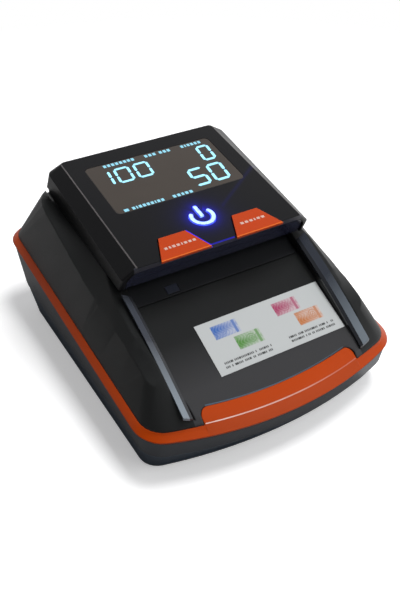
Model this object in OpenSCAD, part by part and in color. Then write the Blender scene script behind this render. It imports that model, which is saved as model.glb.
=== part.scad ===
// Counter-top banknote detector: note tray in front, lift-up display head over a roller transport.
// Millimetres, +Z up. Origin: middle of the footprint, on the table. The front faces -Y.

/* [Body] */
// Width over the trim band
body_w = 130.6; // [126:0.2:140]
// Length over the trim band
body_l = 167; // [160:0.2:176]
// Radius of the bowed front edge
bow_r = 169; // [150:1:260]
// Corner radius at the front
front_r = 14; // [10:0.5:18]
// Corner radius at the back
rear_r = 12; // [8:0.5:16]
// Wall of the moulded shells
wall = 2.2; // [1.6:0.1:2.6]
// Joint line gap between fixed shells
seam = 0.1; // [0.05:0.05:0.3]

/* [Base] */
// Rubber foot standing out below the shell
foot_out = 1.2; // [0.8:0.1:2.5]
// Rubber foot diameter
foot_d = 12; // [8:0.5:16]
// Height of the undercut edge above the table
base_edge_z = 4; // [3:0.5:6]
// Height of the fold in the base walls
base_fold_z = 13.5; // [12:0.5:16]
// Side draft of the base from its rim to its bottom edge
base_draft = 2.8; // [1:0.1:5]
// Set-back of the bottom edge at the front
base_setback = 9.2; // [6:0.1:11]
// Set-back of the bottom edge at the back
base_rear = 12.4; // [6:0.1:14]

/* [Trim band] */
// Height of the band at mid-length
band_z = 30; // [28:0.5:34]
// Rise of the band per millimetre toward the back
band_rise = 0.1; // [0.06:0.01:0.12]
// Height of the band above its widest line
band_h = 2.6; // [2:0.1:3.4]
// Depth of the band below its widest line
band_drop = 1.2; // [0.8:0.1:2]
// Width of the band seen from above, at the sides
band_side = 2.9; // [2.4:0.1:3.6]
// Width of the band seen from above, at the front
band_front = 4.4; // [3.6:0.1:5]
// Width of the front lip
lip_w = 78.4; // [70:0.2:80]
// Height of the fold along the lip
lip_fold_z = 25.5; // [25:0.1:26.5]

/* [Cover] */
// Half-width of the shoulder crease
crease_x = 56; // [54:0.5:58]
// Height of the crease plane at mid-length
crease_z = 55.5; // [54:0.5:60]
// Width of the note channel
tray_w = 86.4; // [84:0.2:88]
// Height of the tray surface at its front edge
tray_z = 29.1; // [28.5:0.1:30]
// Height of the note path where it levels off under the head
deck_z = 58; // [57:0.1:59]
// Width of the guide strips
strip_w = 4.5; // [4:0.1:5.6]
// Thickness of the guide strips
strip_t = 1.3; // [1:0.1:1.8]

/* [Head] */
// Width of the head over its side walls
head_w = 95.8; // [95:0.2:97]
// Width of the flat top panel
panel_w = 82.8; // [80:0.2:86]
// Length of the flat top panel, along its slope
panel_l = 80.5; // [78:0.5:82]
// Slope of the top panel, in degrees
panel_tilt = 8.7; // [7:0.1:10]
// Height of the front edge of the panel
panel_z = 72.1; // [71:0.1:74]
// Place of the head's lower front edge, along the machine
head_front_y = -19; // [-20:0.5:-18]
// Place of the head's hinge, along the machine
hinge_y = 54; // [53:0.5:56]
// Display window width
window_w = 66.8; // [60:0.2:70]
// Display window length
window_l = 36.4; // [30:0.2:38]
// Running gap round the keys
key_gap = 0.45; // [0.2:0.05:0.5]
// Travel of the keys
key_travel = 0.5; // [0.3:0.1:0.8]
// Hinge pin diameter
pin_d = 3; // [2:0.1:3.6]

/* [Transport] */
// Drive roller diameter
drive_d = 20; // [18:0.5:20]
// Pinch roller diameter
pinch_d = 7; // [6:0.5:8]
// Drive shaft diameter
shaft_d = 5; // [4:0.1:6]
// Pinch shaft diameter
pinch_shaft_d = 3; // [2:0.1:4]
// Radial clearance of shafts in their bearings
run_gap = 0.06; // [0.03:0.01:0.1]
// Width of each roller
roller_w = 14; // [10:0.5:16]
// Distance of the rollers from the middle
roller_x = 21; // [18:0.5:24]
// Height of the note path
path_h = 1.6; // [1.4:0.1:2]
// Motor can diameter
motor_d = 24; // [20:0.5:26]
// Motor can length
motor_l = 28; // [22:0.5:30]

/* [Hidden] */

// ---- body outline -----------------------------------------------------------------------------
half_w = body_w / 2;
half_l = body_l / 2;
crease_rise = 0.3;             // rise of the crease plane per millimetre
crease_front = 15.7;           // set-back of the crease from the front edge
crease_rear = 21.8;            // set-back of the crease from the rear edge
crease_over = 1.3;             // the cover's walls are drawn this many times as high as the crease
crease_corner = 18;            // corner radius at the back of the crease

function arc(cx, cy, r, a0, a1, n) =
    [for (i = [0:n]) [cx + r * cos(a0 + (a1 - a0) * i / n), cy + r * sin(a0 + (a1 - a0) * i / n)]];
function tail(v) = [for (i = [1:len(v) - 1]) v[i]];
function head(v) = [for (i = [0:len(v) - 2]) v[i]];

// Closed plan outline: a bowed front of radius bow, round corners, straight sides and back.
function outline(hw, yf, yr, bow = bow_r, rf = front_r, rr = rear_r, nf = 20, nc = 6) =
    let (cx = hw - rf,
         cy = yf + bow - sqrt(pow(bow - rf, 2) - cx * cx),
         t = atan2(cy - yf - bow, cx))
    concat(arc(0, yf + bow, bow, -180 - t, t, nf),
           tail(arc(cx, cy, rf, t, 0, nc)),
           [for (i = [1:nc]) [hw, cy + (yr - rr - cy) * i / (nc + 1)]],
           arc(hw - rr, yr - rr, rr, 0, 90, nc),
           arc(rr - hw, yr - rr, rr, 90, 180, nc),
           [for (i = [nc:-1:1]) [-hw, cy + (yr - rr - cy) * i / (nc + 1)]],
           head(arc(-cx, cy, rf, 180, 180 - t, nc)));

function lift(o, z, rise = 0) = [for (p = o) [p.x, p.y, z + rise * p.y]];

// Solid through closed rings that all have the same number of points, in order. Rings seen from before the
// first one run clockwise, so level rings that are listed from the lowest up run counter-clockwise from above.
module loft(rings) {
    n = len(rings[0]);
    m = len(rings);
    side = [for (k = [0:m - 2], i = [0:n - 1]) let (a = k * n + i, b = k * n + (i + 1) % n) [a, a + n, b + n, b]];
    polyhedron(
        points = [for (r = rings) each r],
        faces = concat(
            [[for (i = [0:n - 1]) i]],
            [[for (i = [n - 1:-1:0]) (m - 1) * n + i]],
            [for (q = side) [q[0], q[1], q[2]]],
            [for (q = side) [q[0], q[2], q[3]]]));
}

// Solid with a level floor under rows of [x, y, z] points, given from front to back and each from +X to -X.
module under(rows, floor_z) {
    n = len(rows[0]);
    loft([for (k = [len(rows) - 1:-1:0]) let (r = rows[k])
        concat(r, [[r[n - 1].x, r[0].y, floor_z], [r[0].x, r[0].y, floor_z]])]);
}

module both() { children(); mirror([1, 0, 0]) children(); }
// A rod along X from x0 to x1 at the given height and depth.
module rod(d, x0, x1, y, z) {
    translate([x0, y, z]) rotate([0, 90, 0]) cylinder(d = d, h = x1 - x0, $fn = 64);
}

// ---- base -------------------------------------------------------------------------------------
rim_w = half_w - 0.6;                       // half-width of the base rim, just inside the band
rim_l = half_l - 0.6;
fold_setback = 2.3;                         // set-back of the fold at the front
fold_rise = 0.02;                           // rise of the fold per millimetre toward the back
edge_inset = 0.4;                           // the bottom face lies this far inside the bottom edge
fold_rear = 8;                              // set-back of the fold at the back
step_rear = 6;                              // set-back just above the step at the back
side_at_fold = rim_w - base_draft * 0.46;

function base_rings(g, z_up) = [
    lift(outline(rim_w - base_draft - edge_inset - g, -rim_l + base_setback + g,
        rim_l - base_rear - edge_inset - g, bow = 215, rf = 9), foot_out + z_up),
    lift(outline(rim_w - base_draft - g, -rim_l + base_setback - 0.6 + g,
        rim_l - base_rear - g, bow = 215, rf = 9), base_edge_z + min(z_up, 1.5)),
    lift(outline(side_at_fold - g, -rim_l + fold_setback + g,
        rim_l - fold_rear - g, bow = 180, rf = 12), base_fold_z + z_up, fold_rise),
    lift(outline(side_at_fold + 0.1 - g, -rim_l + fold_setback - 0.2 + g,
        rim_l - step_rear - g, bow = 180, rf = 12), base_fold_z + z_up + 0.6, fold_rise),
    lift(outline(rim_w - g, -rim_l + g, rim_l - g), band_z - band_drop - seam / 2 + min(z_up, 1), band_rise)];

foot_x = 48;
foot_y = 58;
foot_pocket = 1.0;
post_x = 52;
post_yf = -52;
post_yr = 62;
post_d = 8;
screw_d = 3;
screw_head_d = 5.6;
screw_head_h = 2.2;
screw_sink = foot_out + screw_head_h + 1.2;  // depth of the screws' counterbores, from the table
post_top = 20;
floor_z = foot_out + wall;
board_z = floor_z + 3;
board_t = 1.6;
board_x = 34.8;
board_yf = 6;
board_yr = rim_l - base_rear - wall;
socket_x = 29;
socket_w = 9;
socket_l = 14;
socket_h = 10.6;
socket_bore = 6.4;
socket_z = board_z + board_t + socket_h / 2;
port_x = 10;
port_w = 8;
port_h = 4;
port_l = 9;

notch_x = -8.4;
notch_w = 0.5;
notch_z = 6.5;
notch_top = 10.5;
notch_deep = 1;
// Depth of the lower front face of the base at height z, at the middle.
function lower_face_at(z) = let (y0 = -rim_l + base_setback - 0.6, y1 = -rim_l + fold_setback)
    y0 + (y1 - y0) * (z - base_edge_z) / (base_fold_z + fold_rise * y1 - base_edge_z);

module posts() {
    for (sx = [-1, 1], y = [post_yf, post_yr]) translate([sx * post_x, y, 0]) children();
}

module base_shell() {
    color("#33363b") difference() {
        union() {
            difference() {
                loft(base_rings(0, 0));
                loft(base_rings(wall, wall));
            }
            posts() translate([0, 0, foot_out]) cylinder(d = post_d, h = post_top - foot_out, $fn = 48);
            for (sx = [-1, 1], y = [board_yf + 5, board_yr - 14]) translate([sx * (board_x - 5), y, foot_out])
                cylinder(d = 6, h = board_z - foot_out, $fn = 32);
            for (y = [bracket_y - 6, bracket_y + 6]) translate([bracket_x - 2, y, foot_out])
                cylinder(d = 5, h = bracket_foot_z - foot_out, $fn = 32);
        }
        posts() {
            translate([0, 0, -1]) cylinder(d = screw_d + 0.4, h = post_top + 2, $fn = 32);
            translate([0, 0, -1]) cylinder(d = screw_head_d + 0.6, h = screw_sink + 1, $fn = 32);
        }
        for (sx = [-1, 1], y = [-foot_y, foot_y]) translate([sx * foot_x, y, -1])
            cylinder(d = foot_d + 0.2, h = foot_out + foot_pocket + 1, $fn = 48);
        translate([socket_x, board_yr + 1, socket_z]) rotate([-90, 0, 0]) cylinder(d = 8.6, h = 12, $fn = 48);
        translate([port_x - port_w / 2 - 0.5, board_yr, board_z + board_t - 0.3])
            cube([port_w + 1, 12, port_h + 0.8]);
        // moulding notch in the lower front face
        side_profile(notch_x, notch_w, [[-half_l, notch_z], [lower_face_at(notch_z) + notch_deep, notch_z],
            [lower_face_at(notch_top) + notch_deep, notch_top], [-half_l, notch_top]]);
    }
}

module rubber_feet() {
    color("#1b1b1c") for (sx = [-1, 1], y = [-foot_y, foot_y])
        translate([sx * foot_x, y, 0]) {
            cylinder(d1 = foot_d - 1, d2 = foot_d, h = 0.6, $fn = 48);
            translate([0, 0, 0.6]) cylinder(d = foot_d, h = foot_out + foot_pocket - 0.6, $fn = 48);
        }
}

module base_screws() {
    color("#9a9da1") posts() translate([0, 0, foot_out + 1.2]) difference() {
        union() {
            cylinder(d = screw_head_d, h = screw_head_h - 0.1, $fn = 32);
            cylinder(d = screw_d, h = post_top + 9 - foot_out, $fn = 32);
        }
        translate([0, 0, -1]) cylinder(d = 2.6, h = 2.2, $fn = 6);
    }
}

// ---- trim band --------------------------------------------------------------------------------
lip_rear_y = -half_l + 10.9;       // rear edge of the lip at the middle
lip_fold_y = -half_l + 4.2;        // fold of the lip at the middle
lip_corner = 3.5;
lip_bow = 205;

module trim_band() {
    inner_x = half_w - band_side - wall;
    facet_in = band_side * 0.45;
    color("#d2561c") difference() {
        union() {
            difference() {
                loft([
                    lift(outline(rim_w, -rim_l, rim_l), band_z - band_drop, band_rise),
                    lift(outline(half_w, -half_l, half_l), band_z, band_rise),
                    lift(outline(half_w - facet_in, -half_l + band_front * 0.58, half_l - facet_in,
                        rf = front_r - 1, rr = rear_r - 1), band_z + band_h * 0.58, band_rise),
                    lift(outline(half_w - band_side, -half_l + band_front, half_l - band_side,
                        bow = bow_r + 30, rf = front_r - 2.5, rr = rear_r - 2.5), band_z + band_h, band_rise)]);
                loft([
                    lift(outline(inner_x, -half_l + band_front + wall, half_l - band_side - wall,
                        bow = bow_r + 30, rf = front_r - 4.5, rr = rear_r - 4.5), 10),
                    lift(outline(inner_x, -half_l + band_front + wall, half_l - band_side - wall,
                        bow = bow_r + 30, rf = front_r - 4.5, rr = rear_r - 4.5), 60)]);
            }
            lip();
        }
    }
}

function bowed(x, y, r) = y + r - sqrt(r * r - x * x);
module lip() {
    n = 18;
    xs = [for (i = [0:n]) (lip_w / 2 + 1) * (1 - 2 * i / n)];
    intersection() {
        lip_sections(xs);
        linear_extrude(60) lip_plan(lip_w / 2, 0);
    }
}
// Plan of the lip: bowed rear edge with round corners; g grows it for the notch in the cover.
module lip_plan(hw, g) {
    c = lip_corner;
    yc = bowed(hw - c, lip_rear_y, lip_bow) - c;
    polygon(concat(
        [[-hw - g, -half_l - 1], [hw + g, -half_l - 1]],
        arc(hw - c, yc, c + g, 0, 80, 8),
        [for (i = [0:16]) let (x = (hw - c) * (1 - i / 8)) [x, bowed(x, lip_rear_y, lip_bow) + g]],
        arc(c - hw, yc, c + g, 100, 180, 8)));
}
module lip_sections(xs) {
    // sections along X: under the band's edge, foot of the front face, fold, rear top, rear bottom
    rows = [for (x = xs)
        let (yb = bowed(x, -half_l + 0.4, bow_r), zb = band_z + band_rise * yb + 0.1,
             yf = bowed(x, lip_fold_y, bow_r), yr = bowed(x, lip_rear_y, lip_bow) + 2)
        [[x, yb + 0.4, zb - 0.7], [x, yb, zb], [x, yf, lip_fold_z], [x, yr, tray_at(yr) + 0.3],
            [x, yr, zb - 0.7]]];
    loft(rows);
}

// ---- upper cover ------------------------------------------------------------------------------
tray_front_y = -half_l + 14.3;
path_bend_y = -3.3;                         // the note path levels off here
tray_rise = (deck_z - tray_z) / (path_bend_y - tray_front_y);
tray_tilt = atan(tray_rise);
tray_x = tray_w / 2;
function tray_at(y) = tray_z + tray_rise * (y - tray_front_y);

shoulder_x = head_w / 2 + 0.1;
strip_drop = 2.8;
deck_rise = 0.125;
deck_drop = 3.1;                            // the deck lies this far below the head's lower edge
function deck_at(y) = deck_z + deck_rise * (y - path_bend_y);
function gap_at(y) = deck_at(y) + deck_drop;    // lower edge of the head
head_rest = 0.5;                            // joint line under the head
bend_y = head_front_y - 1;
front_shoulder_z = tray_at(tray_front_y) + 1.9;
// Height of the shoulder beside the head and beside the strips.
function shoulder_at(y) = y > bend_y ? gap_at(y) - head_rest
    : let (t = (y - tray_front_y + 3.3) / (bend_y - tray_front_y + 3.3),
           rise = gap_at(bend_y) - head_rest - front_shoulder_z)
      front_shoulder_z + rise * t + 1.6 * sin(180 * max(0, min(1, t)));
// Height of the crease: steep at the front, flatter over the cheeks and steeper again beside the head.
function crease_at(y) = let (s = y / 100)
    crease_z - 0.8 + 28.2 * s + 13.3 * pow(s, 2) + 0.9 * pow(s, 3) - 27 * pow(s, 4);
function wing_at(y, x) =
    shoulder_at(y) + (crease_at(y) - shoulder_at(y)) * (x - shoulder_x) / (crease_x - shoulder_x);

// Floor of the channel, kept below the shoulders where the head covers it.
function bed_at(y) = min(tray_at(y), shoulder_at(y) - 2);
cover_out = half_l + 12;                    // the top is drawn this far to the front and the back
cover_y = concat([-cover_out], [for (i = [0:14]) -half_l + (bend_y + half_l) * i / 14],
    [for (i = [1:13]) bend_y + (half_l - 17 - bend_y) * i / 13], [cover_out]);
far_x = half_w + 7;
edge_x = crease_x + 2.5;                    // the top bends down here, past the crease
// One row of the top surface at depth y; d thins it for the inside of the shell.
function top_half(y, d) = d == 0
    ? concat([[far_x, y, wing_at(y, edge_x) + 1]],
        [for (i = [4:-1:0]) let (x = shoulder_x + (edge_x - shoulder_x) * i / 4) [x, y, wing_at(y, x)]],
        [[tray_x, y, shoulder_at(y)], [tray_x, y, bed_at(y)]])
    : [[far_x, y, wing_at(y, edge_x) - d], [shoulder_x + d, y, wing_at(y, shoulder_x + d) - d],
       [shoulder_x + d, y, shoulder_at(y) - d - strip_drop], [tray_x + d, y, shoulder_at(y) - d - strip_drop],
       [tray_x + d, y, bed_at(y) - d]];
function flip_row(r) = [for (i = [len(r) - 1:-1:0]) [-r[i].x, r[i].y, r[i].z]];
function top_row(y, d) = let (h = top_half(y, d)) concat(h, flip_row(h));

// Outer form of the cover; g insets its walls, d lowers its top, and nf, nc set how finely it is drawn.
module cover_skin(g, d, ys, nf, nc) {
    z0 = band_z + band_h + seam;
    side = half_w - band_side - seam;
    yf = -half_l + band_front + seam;
    yr = half_l - band_side - seam;
    bow = bow_r + 30;
    // The walls run past the crease, so that the top cuts them there.
    function past(a, b) = a + crease_over * (b - a);
    intersection() {
        loft([
            lift(outline(side - g, yf + g, yr - g, bow, front_r - 2.5, rear_r - 2.5, nf, nc),
                z0 - d, band_rise),
            lift(outline(past(side, crease_x) - g, past(yf, -half_l + crease_front) + g,
                past(yr, half_l - crease_rear) - g, bow, 7, past(rear_r - 2.5, crease_corner), nf, nc),
                past(z0, crease_z), past(band_rise, crease_rise))]);
        under([for (y = ys) top_row(y, d)], 5);
    }
}
hollow_y = [-cover_out, -half_l + 17.5, -half_l + 39.5, bend_y, cover_out];

well_front_y = head_front_y - 2.8;         // the tray floor ends here, where the lower guide starts
well_rear_y = hinge_y + 10.7;
head_swing = 1.8;                          // room under the rear edge of the deck for the lifting head

module upper_cover() {
    color("#2a2d30") difference() {
        cover_skin(0, 0, cover_y, 20, 6);
        difference() {
            cover_skin(wall, wall + 0.8, hollow_y, 4, 2);
            posts() translate([0, 0, post_top + 0.2]) cylinder(d = post_d - 1, h = 60, $fn = 48);
        }
        // the well that the head and the lower guide fill
        translate([-tray_x - 0.15, well_front_y, 0]) cube([tray_w + 0.3, well_rear_y - well_front_y, 100]);
        // room for the rear of the head and the exit slot
        translate([-shoulder_x - 0.3, well_rear_y - 12, deck_at(well_rear_y) - head_swing])
            cube([2 * shoulder_x + 0.6, 40, 60]);
        // room beside the deck for the belt drive and the encoder
        both() side_profile(tray_x - 1, 4, [[-4, 40], [56, 40], [56, shoulder_at(56) - wall],
            [-4, shoulder_at(-4) - wall]]);
        posts() translate([0, 0, post_top - 1]) cylinder(d = screw_d + 0.1, h = 12, $fn = 32);
        translate([0, 0, -1]) linear_extrude(60) lip_plan(lip_w / 2, 0.3);
        both() strip_body(seam, 6);
    }
}

// A guide strip on the slanted bed between the tray and the shoulder.
strip_front_y = -half_l + 11.2;
module strip_body(g, up) {
    ys = [for (i = [12:-1:0]) strip_front_y - g + (bend_y + 2 * g - strip_front_y) * i / 12];
    x1 = tray_x + strip_w + g;
    x0 = tray_x - (g > 0 ? 1 : 0);
    drop = strip_drop * (x1 - x0) / strip_w;
    loft([for (y = ys) let (z = shoulder_at(min(y, bend_y))) [
        [x1, y, z + up], [x0, y, z - drop + up], [x0, y, z - drop - strip_t - g], [x1, y, z - strip_t - g]]]);
}
module guide_strip_right() { color("#aab6c4") strip_body(0, 0); }
module guide_strip_left() { color("#aab6c4") mirror([1, 0, 0]) strip_body(0, 0); }

sticker_w = 65.4;
sticker_l = 25.6;
sticker_t = 0.15;
sticker_x = 9.8;
sticker_y = -49.5;
module tray_sticker() {
    color("#f1f1ee") translate([sticker_x, sticker_y, tray_at(sticker_y)]) rotate([tray_tilt, 0, 0])
        translate([-sticker_w / 2, -sticker_l / 2, 0.01]) cube([sticker_w, sticker_l, sticker_t]);
}

// ---- lower guide and transport ------------------------------------------------------------------
guide_w = 2 * (tray_x - 0.3);
guide_t = 2;
guide_front_y = well_front_y + 0.2;
guide_rear_y = well_rear_y - 0.3;
front_y = 5.7;                              // shaft positions along the note path
rear_y = hinge_y - 6.3;
drive_out = 0.3;                            // the drive rollers stand this far out of the deck
drive_zf = deck_at(front_y) + drive_out - drive_d / 2;
drive_zr = deck_at(rear_y) + drive_out - drive_d / 2;
drive_axes = [[front_y, drive_zf], [rear_y, drive_zr]];
plate_x = 37;                               // inner face of the bearing plates
plate_t = 3;
bush_d = shaft_d + 3;
hinge_z = deck_at(hinge_y) + 7.2;
hinge_r = 2.9;
ear_x = 41.3;
ear_t = 2.2;
sensor_y = 26.7;
sensor_w = 64;
sensor_l = 9;

module side_profile(x, t, pts) { translate([x, 0, 0]) rotate([90, 0, 90]) linear_extrude(t) polygon(pts); }

module lower_guide() {
    front_z = tray_at(guide_front_y);
    color("#1d1e20") difference() {
        union() {
            side_profile(-guide_w / 2, guide_w, [
                [guide_front_y, front_z - guide_t], [guide_front_y, front_z], [path_bend_y, deck_z],
                [guide_rear_y, deck_at(guide_rear_y)], [guide_rear_y, deck_at(guide_rear_y) - guide_t],
                [path_bend_y, deck_z - guide_t]]);
            // bearing plates under the deck
            both() side_profile(plate_x, plate_t, [
                [front_y - 9, deck_at(front_y) - 3], [front_y - 7, drive_zf - 6], [front_y + 7, drive_zf - 6],
                [rear_y - 8, drive_zr - 6], [rear_y + 8, drive_zr - 6], [rear_y + 11, deck_at(rear_y) - 1.5]]);
            // ears that carry the head's hinge pins
            both() hinge_ear(ear_x - 0.7);
            // legs down to the base
            for (sx = [-1, 1], y = [-12.3, 59.7]) translate([sx * 38, y, floor_z])
                cylinder(d = 6, h = deck_at(y) - 1 - floor_z - (y < path_bend_y ? 3.2 : 0), $fn = 32);
        }
        both() for (p = drive_axes) {
            translate([roller_x - roller_w / 2 - 0.6, p[0] - drive_d / 2 - 0.6, p[1] - drive_d / 2 - 0.6])
                cube([roller_w + 1.2, drive_d + 1.2, drive_d + 8]);
            rod(bush_d, plate_x - 1, plate_x + plate_t + 1, p[0], p[1]);
        }
        both() rod(pin_d + 2 * run_gap, ear_x - 2, ear_x + 3, hinge_y, hinge_z);
        translate([-sensor_w / 2 - 0.2, sensor_y - sensor_l / 2 - 0.2, deck_at(sensor_y) - 6])
            cube([sensor_w + 0.4, sensor_l + 0.4, 12]);
        entry_place() translate([-entry_w / 2 - 0.15, -entry_l / 2 - 0.15, -4])
            cube([entry_w + 0.3, entry_l + 0.3, 8]);
        translate([-keeper_w / 2 - 0.2, keeper_y - 2.2, deck_at(keeper_y) - 4])
            cube([keeper_w + 0.4, 4.4, 8]);
    }
}

module hinge_ear(x) {
    translate([x, 0, 0]) {
        rotate([90, 0, 90]) linear_extrude(ear_t) polygon([
            [hinge_y - hinge_r, deck_at(hinge_y) - 1], [hinge_y - hinge_r, hinge_z], [hinge_y + hinge_r, hinge_z],
            [hinge_y + 1.4, hinge_z - 2.4], [hinge_y + 1.4, deck_at(hinge_y) - 1]]);
        translate([0, hinge_y, hinge_z]) rotate([0, 90, 0]) cylinder(r = hinge_r, h = ear_t, $fn = 48);
    }
}

module shaft_bushes() {
    color("#b58a3c") both() for (p = drive_axes) difference() {
        rod(bush_d, plate_x, plate_x + plate_t, p[0], p[1]);
        rod(shaft_d + 2 * run_gap, plate_x - 1, plate_x + plate_t + 1, p[0], p[1]);
    }
}

sensor_t = 2.4;
module sensor_bar_lower() {
    color("#14161c") translate([0, sensor_y, deck_at(sensor_y)]) rotate([atan(deck_rise), 0, 0])
        translate([-sensor_w / 2, -sensor_l / 2 + 0.3, -sensor_t])
            cube([sensor_w, sensor_l - 0.6, sensor_t - 0.1]);
}

entry_w = 6;
entry_l = 4;
entry_x = -22.8;
entry_y = -18.7;
module entry_place() { translate([entry_x, entry_y, tray_at(entry_y)]) rotate([tray_tilt, 0, 0]) children(); }
module entry_sensor() {
    color("#5c6068") entry_place() translate([-entry_w / 2, -entry_l / 2, -3]) cube([entry_w, entry_l, 3.1]);
}

pulley_x = 44.5;
pulley_w = 5;
pulley_d = 9;
belt_t = 1.2;
belt_gap = 0.3;
motor_y = 23.7;
motor_z = 26;
motor_x1 = 40.5;

module drive_shaft(y, z, x0) { color("#c4c7ca") rod(shaft_d, x0, pulley_x + pulley_w + 1, y, z); }
module tyres(y, z) {
    color("#26272a") for (sx = [-1, 1]) difference() {
        rod(drive_d, sx * roller_x - roller_w / 2, sx * roller_x + roller_w / 2, y, z);
        rod(shaft_d, sx * roller_x - roller_w / 2 - 1, sx * roller_x + roller_w / 2 + 1, y, z);
    }
}
module pulley(y, z, bore) {
    color("#3c3f44") difference() {
        union() {
            rod(pulley_d, pulley_x, pulley_x + pulley_w, y, z);
            rod(pulley_d + 2.4, pulley_x - 0.8, pulley_x, y, z);
        }
        rod(bore, pulley_x - 2, pulley_x + pulley_w + 1, y, z);
    }
}
encoder_x = -45.5;
module drive_shaft_front() { drive_shaft(front_y, drive_zf, encoder_x - 3); }
module drive_shaft_rear() { drive_shaft(rear_y, drive_zr, -plate_x - plate_t - 2); }
module drive_rollers_front() { tyres(front_y, drive_zf); }
module drive_rollers_rear() { tyres(rear_y, drive_zr); }
module pulley_front() { pulley(front_y, drive_zf, shaft_d); }
module pulley_rear() { pulley(rear_y, drive_zr, shaft_d); }
module motor_pulley() {
    color("#3c3f44") pulley(motor_y, motor_z, motor_shaft_d);
}
encoder_d = 13;
module encoder_disc() {
    color("#2b2d31") difference() {
        rod(encoder_d, encoder_x, encoder_x + 1, front_y, drive_zf);
        rod(shaft_d, encoder_x - 1, encoder_x + 2, front_y, drive_zf);
        for (a = [0:20:340]) translate([encoder_x - 1, front_y, drive_zf]) rotate([a, 0, 0])
            translate([0, -0.5, encoder_d / 2 - 2.6]) cube([3, 1, 1.8]);
    }
}

// Loop of belt over the three pulleys, as three outer arcs and straight runs.
pulleys = [[front_y, drive_zf], [rear_y, drive_zr], [motor_y, motor_z]];
function loop(c, r) = [for (i = [0:2])
    let (a = c[(i + 2) % 3], b = c[i], d = c[(i + 1) % 3],
         n0 = atan2(b[1] - a[1], b[0] - a[0]) + 90, n1 = atan2(d[1] - b[1], d[0] - b[0]) + 90,
         turn = n1 > n0 ? n1 - 360 : n1)
    each arc(b[0], b[1], r, n0, turn, 12)];
module drive_belt() {
    r = pulley_d / 2 + belt_gap;
    color("#151515") difference() {
        side_profile(pulley_x + 0.4, pulley_w - 0.8, loop(pulleys, r + belt_t));
        side_profile(pulley_x, pulley_w, loop(pulleys, r));
    }
}

motor_shaft_d = 3;
bracket_x = motor_x1;
bracket_y = motor_y;
bracket_t = 1.5;
bracket_w = motor_d + 2;
bracket_foot_z = board_z + board_t + 1;
module motor() {
    color("#b9bcc0") difference() {
        union() {
            rod(motor_d, motor_x1 - motor_l, motor_x1, motor_y, motor_z);
            rod(7, motor_x1 - motor_l - 2, motor_x1 - motor_l, motor_y, motor_z);
        }
        rod(motor_shaft_d + 2 * run_gap, motor_x1 - 8, motor_x1 + 1, motor_y, motor_z);
    }
}
module motor_shaft() {
    color("#c4c7ca") rod(motor_shaft_d, motor_x1 - 7.5, pulley_x + pulley_w + 1, motor_y, motor_z);
}
module motor_bracket() {
    color("#8f9398") difference() {
        union() {
            translate([bracket_x, bracket_y - bracket_w / 2, bracket_foot_z])
                cube([bracket_t, bracket_w, motor_z + 10 - bracket_foot_z]);
            translate([bracket_x - 10, bracket_y - bracket_w / 2, bracket_foot_z])
                cube([10 + bracket_t, bracket_w, bracket_t]);
        }
        rod(motor_shaft_d + 3, bracket_x - 1, bracket_x + bracket_t + 1, motor_y, motor_z);
        rod(motor_d + 0.4, bracket_x - 12, bracket_x, motor_y, motor_z);
    }
}

// ---- boards and sockets -------------------------------------------------------------------------
module main_board() {
    color("#1f5a34") translate([-board_x, board_yf, board_z])
        cube([2 * board_x, board_yr - board_yf, board_t]);
}
module board_parts() {
    top = board_z + board_t;
    color("#202124") {
        translate([-20, 30, top]) cube([14, 14, 1.6]);
        translate([-32, 34, top]) cube([8, 12, 1.8]);
        translate([-32, 14, top]) cube([16, 5, 5]);
        translate([-2, 52, top]) cube([6, 9, 2]);
        translate([-27.5, 61, top]) cylinder(d = 12, h = 6, $fn = 48);
        for (x = [-12, -4]) translate([x, 66, top]) cylinder(d = 6.3, h = 9, $fn = 32);
        translate([16, 46, top]) cube([9, 9, 4]);
    }
}
module power_socket() {
    y0 = board_yr + 0.7 - socket_l;
    color("#17181a") {
        difference() {
            translate([socket_x - socket_w / 2, y0, board_z + board_t]) cube([socket_w, socket_l, socket_h]);
            translate([socket_x, y0 + 3, socket_z]) rotate([-90, 0, 0])
                cylinder(d = socket_bore, h = socket_l, $fn = 48);
        }
        translate([socket_x, y0 + 2, socket_z]) rotate([-90, 0, 0])
            cylinder(d = 2, h = socket_l - 3, $fn = 32);
    }
}
module update_socket() {
    y0 = board_yr + 0.7 - port_l;
    color("#a9adb1") difference() {
        translate([port_x - port_w / 2, y0, board_z + board_t]) cube([port_w, port_l, port_h]);
        translate([port_x - port_w / 2 + 0.5, y0 + 2, board_z + board_t + 0.5])
            cube([port_w - 1, port_l, port_h - 1]);
    }
}

module magnetic_sensor() {
    z = deck_at(sensor_y) - sensor_t - 0.7;
    color("#74787d") translate([-16, sensor_y - 4, z - 9]) cube([32, 8, 9]);
}
module uv_lamp() {
    z = deck_at(14) - guide_t - 0.3;
    color("#4a3f86") for (x = [-8, 8]) translate([x, 16.9, z - 5]) cylinder(d = 5, h = 5, $fn = 32);
}

// ---- head ---------------------------------------------------------------------------------------
panel_front_y = head_front_y - 5.1;
panel_rise = tan(panel_tilt);
bevel_z = panel_z - 6;                      // lower edge of the bevel, at its front
bevel_rise = 0.181;
bevel_front_y = head_front_y - 3.3;
bevel_rear_y = hinge_y + 3.8;
head_rear_y = hinge_y + 10;
head_x = head_w / 2;
panel_rear_y = panel_front_y + panel_l * cos(panel_tilt);

// Local frame of the top panel: x across, y up the slope from the front edge, z along the normal.
module on_panel() { translate([0, panel_front_y, panel_z]) rotate([panel_tilt, 0, 0]) children(); }

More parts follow.
